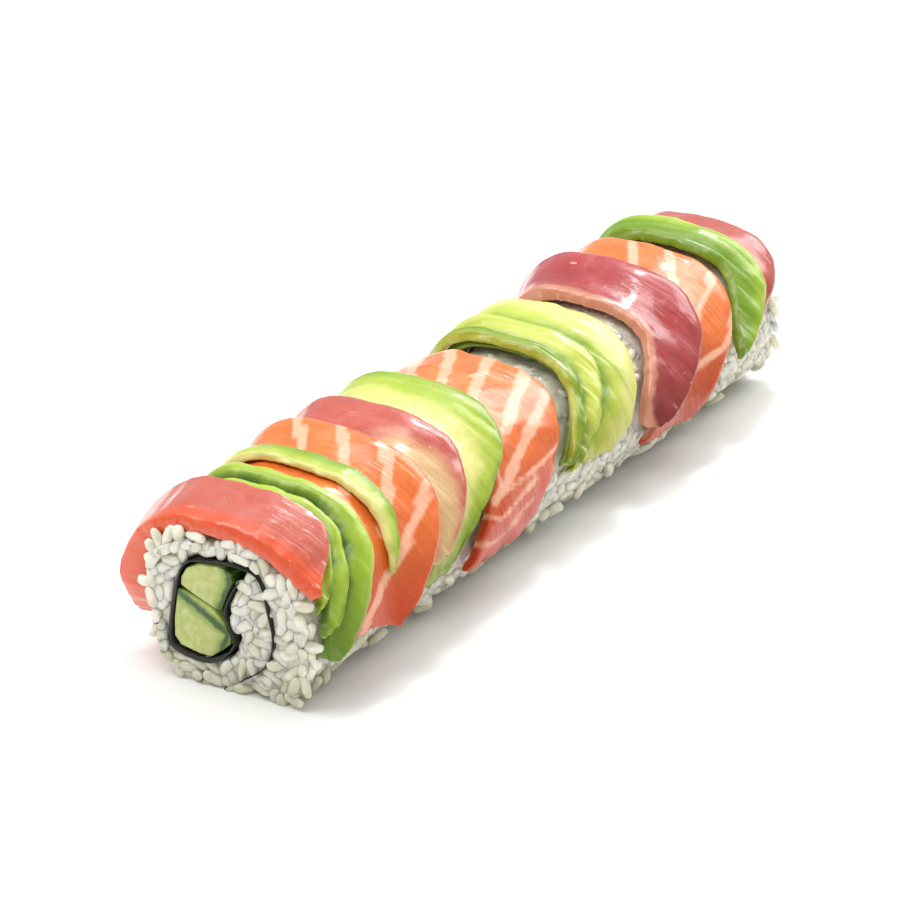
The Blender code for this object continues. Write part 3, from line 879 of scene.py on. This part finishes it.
def avocado_material(node, look):
    colours, low, _ = look
    flesh = Finish(node + "_flesh", 0.36, 0.30, 0.15, (0.7, 0.8, 0.2), 1.2)
    wander = flesh.math("MULTIPLY", flesh.math("SUBTRACT", flesh.noise(5.0, 4.0, laid=True,
                                                                     stretch=(0.35, 1, 1)), 0.5), 0.5)
    across = flesh.math("ADD", flesh.read("across"), wander)
    # The ramp also carries the painted shadow at the front edges of avocado_1a, 1b and 1c and the partly
    # painted highlight on avocado_1c's back rim.
    colour = flesh.blend_along(across, colours)
    strands = flesh.noise(1.6, 3.0, laid=True, stretch=(0.06, 1, 1))
    colour = flesh.mix(flesh.step(strands, 0.50, 0.75, 0.0, 0.16), colour, tint(226, 228, 150))
    colour = flesh.mix(flesh.step(strands, 0.46, 0.25, 0.0, 0.22), colour, tint(84, 120, 14))
    # Painted shade: the flesh turns most of the way to the slice's darker low colour lower down the roll.
    colour = flesh.mix(flesh.step(flesh.height(), 29 * MM, 12 * MM, 0.0, 0.85), colour, tint(*low))
    flesh.colour(colour)
    flesh.gloss(flesh.step(flesh.noise(2.0, 3.0), 0.3, 0.7, 0.28, 0.5))
    flesh.bump((strands, 0.08), (flesh.noise(2.4, 3.0, laid=True, stretch=(0.4, 1, 1)), 0.25))
    return flesh.material


class URAMAKI_OT_tuna(bpy.types.Operator):
    """Builds the tuna slices"""
    bl_idname = "uramaki.tuna"
    bl_label = "Tuna slices"

    def execute(self, context):
        for order, (node, look) in enumerate(TUNA_SLICES.items()):
            piece, _, _ = shape_slice(node, 100 + 20 * order)
            finish_piece(piece, tuna_material(node, look), "tuna_flesh", node)
        return {"FINISHED"}


class URAMAKI_OT_salmon(bpy.types.Operator):
    """Builds the salmon slices with their fat lines"""
    bl_idname = "uramaki.salmon"
    bl_label = "Salmon slices"

    def execute(self, context):
        for order, (node, look) in enumerate(SALMON_SLICES.items()):
            piece, ways, runs = shape_slice(node, 300 + 20 * order)
            gaps = [line_distance(ways, runs, corners) - half for half, *corners in look[2]]
            store(piece, "fat", np.min(gaps, axis=0))
            finish_piece(piece, salmon_material(node, look), "salmon_flesh", node)
        return {"FINISHED"}


class URAMAKI_OT_avocado(bpy.types.Operator):
    """Builds the avocado slices"""
    bl_idname = "uramaki.avocado"
    bl_label = "Avocado slices"

    def execute(self, context):
        for order, (node, look) in enumerate(AVOCADO_SLICES.items()):
            piece, _, _ = shape_slice(node, 500 + 20 * order, look[2])
            finish_piece(piece, avocado_material(node, look), "avocado_flesh", node)
        return {"FINISHED"}


# Stage --------------------------------------------------------------------------------------------

# Soft lights: place (m), size (m), power (W) and warmth.
LIGHTS = (
    ("key", (-0.30, -0.15, 0.75), 0.70, 5.6, (1.0, 0.985, 0.96)),
    ("back", (0.15, 0.75, 0.70), 0.60, 5.5, (1.0, 1.0, 1.0)),
    ("glint", (-0.12, 0.40, 0.55), 0.09, 1.3, (1.0, 1.0, 1.0)),
    ("fill", (0.55, -0.80, 0.45), 0.60, 1.2, (1.0, 0.99, 0.97)),
)


class URAMAKI_OT_stage(bpy.types.Operator):
    """Builds the floor, the soft lights and the camera"""
    bl_idname = "uramaki.stage"
    bl_label = "Stage"

    def execute(self, context):
        values = context.scene.uramaki_stage
        deselect()
        bpy.ops.mesh.primitive_plane_add(size=8, location=(0, 0, 0))
        floor = context.object
        floor.name = "floor"
        board = Finish("floor_matt", 0.6)
        board.colour(board.mix(board.step(board.noise(60, 2.0), 0.3, 0.7, 0.0, 0.3), tuple(values.floor),
                               tint(243, 243, 242)))
        floor.data.materials.append(board.material)
        aim = Vector(values.aim)
        for name, place, size, power, warmth in LIGHTS:
            lamp = bpy.data.lights.new(name, "AREA")
            lamp.size = size
            lamp.energy = power
            lamp.color = warmth
            holder = bpy.data.objects.new(name, lamp)
            context.scene.collection.objects.link(holder)
            holder.location = place
            holder.rotation_euler = (aim - Vector(place)).to_track_quat("-Z", "Y").to_euler()
        world = bpy.data.worlds.new("soft_room")
        world.use_nodes = True
        backdrop = world.node_tree.nodes["Background"]
        backdrop.inputs["Color"].default_value = (1.0, 1.0, 1.0, 1)
        backdrop.inputs["Strength"].default_value = ROOM_STRENGTH
        context.scene.world = world
        context.scene.view_settings.view_transform = "Standard"
        ahead = Vector((-math.sin(values.azimuth) * math.cos(values.elevation),
                        math.cos(values.azimuth) * math.cos(values.elevation),
                        -math.sin(values.elevation)))
        camera = bpy.data.objects.new("camera", bpy.data.cameras.new("camera"))
        camera.data.lens = values.lens
        camera.data.sensor_width = 36
        camera.location = aim - ahead * values.distance
        camera.rotation_euler = ahead.to_track_quat("-Z", "Y").to_euler()
        context.scene.collection.objects.link(camera)
        context.scene.camera = camera
        return {"FINISHED"}


OPERATORS = (URAMAKI_OT_stage, URAMAKI_OT_rice, URAMAKI_OT_nori, URAMAKI_OT_cucumber,
             URAMAKI_OT_tuna, URAMAKI_OT_salmon, URAMAKI_OT_avocado)


class URAMAKI_PT_panel(bpy.types.Panel):
    """Lists the roll's steps and settings"""
    bl_idname = "URAMAKI_PT_panel"
    bl_label = "Uramaki roll"
    bl_space_type = "VIEW_3D"
    bl_region_type = "UI"
    bl_category = "Uramaki"

    def draw(self, context):
        for operator in OPERATORS:
            self.layout.operator(operator.bl_idname)
        for name, group in SETTINGS.items():
            box = self.layout.box()
            for setting in group.__annotations__:
                box.prop(getattr(context.scene, name), setting)


def register():
    for name, group in SETTINGS.items():
        bpy.utils.register_class(group)
        setattr(bpy.types.Scene, name, bpy.props.PointerProperty(type=group))
    for operator in OPERATORS:
        bpy.utils.register_class(operator)
    bpy.utils.register_class(URAMAKI_PT_panel)


def unregister():
    bpy.utils.unregister_class(URAMAKI_PT_panel)
    for operator in reversed(OPERATORS):
        bpy.utils.unregister_class(operator)
    for name, group in SETTINGS.items():
        delattr(bpy.types.Scene, name)
        bpy.utils.unregister_class(group)


def main():
    register()
    for operator in OPERATORS:
        group, name = operator.bl_idname.split(".")
        getattr(getattr(bpy.ops, group), name)()


if __name__ == "__main__":
    main()
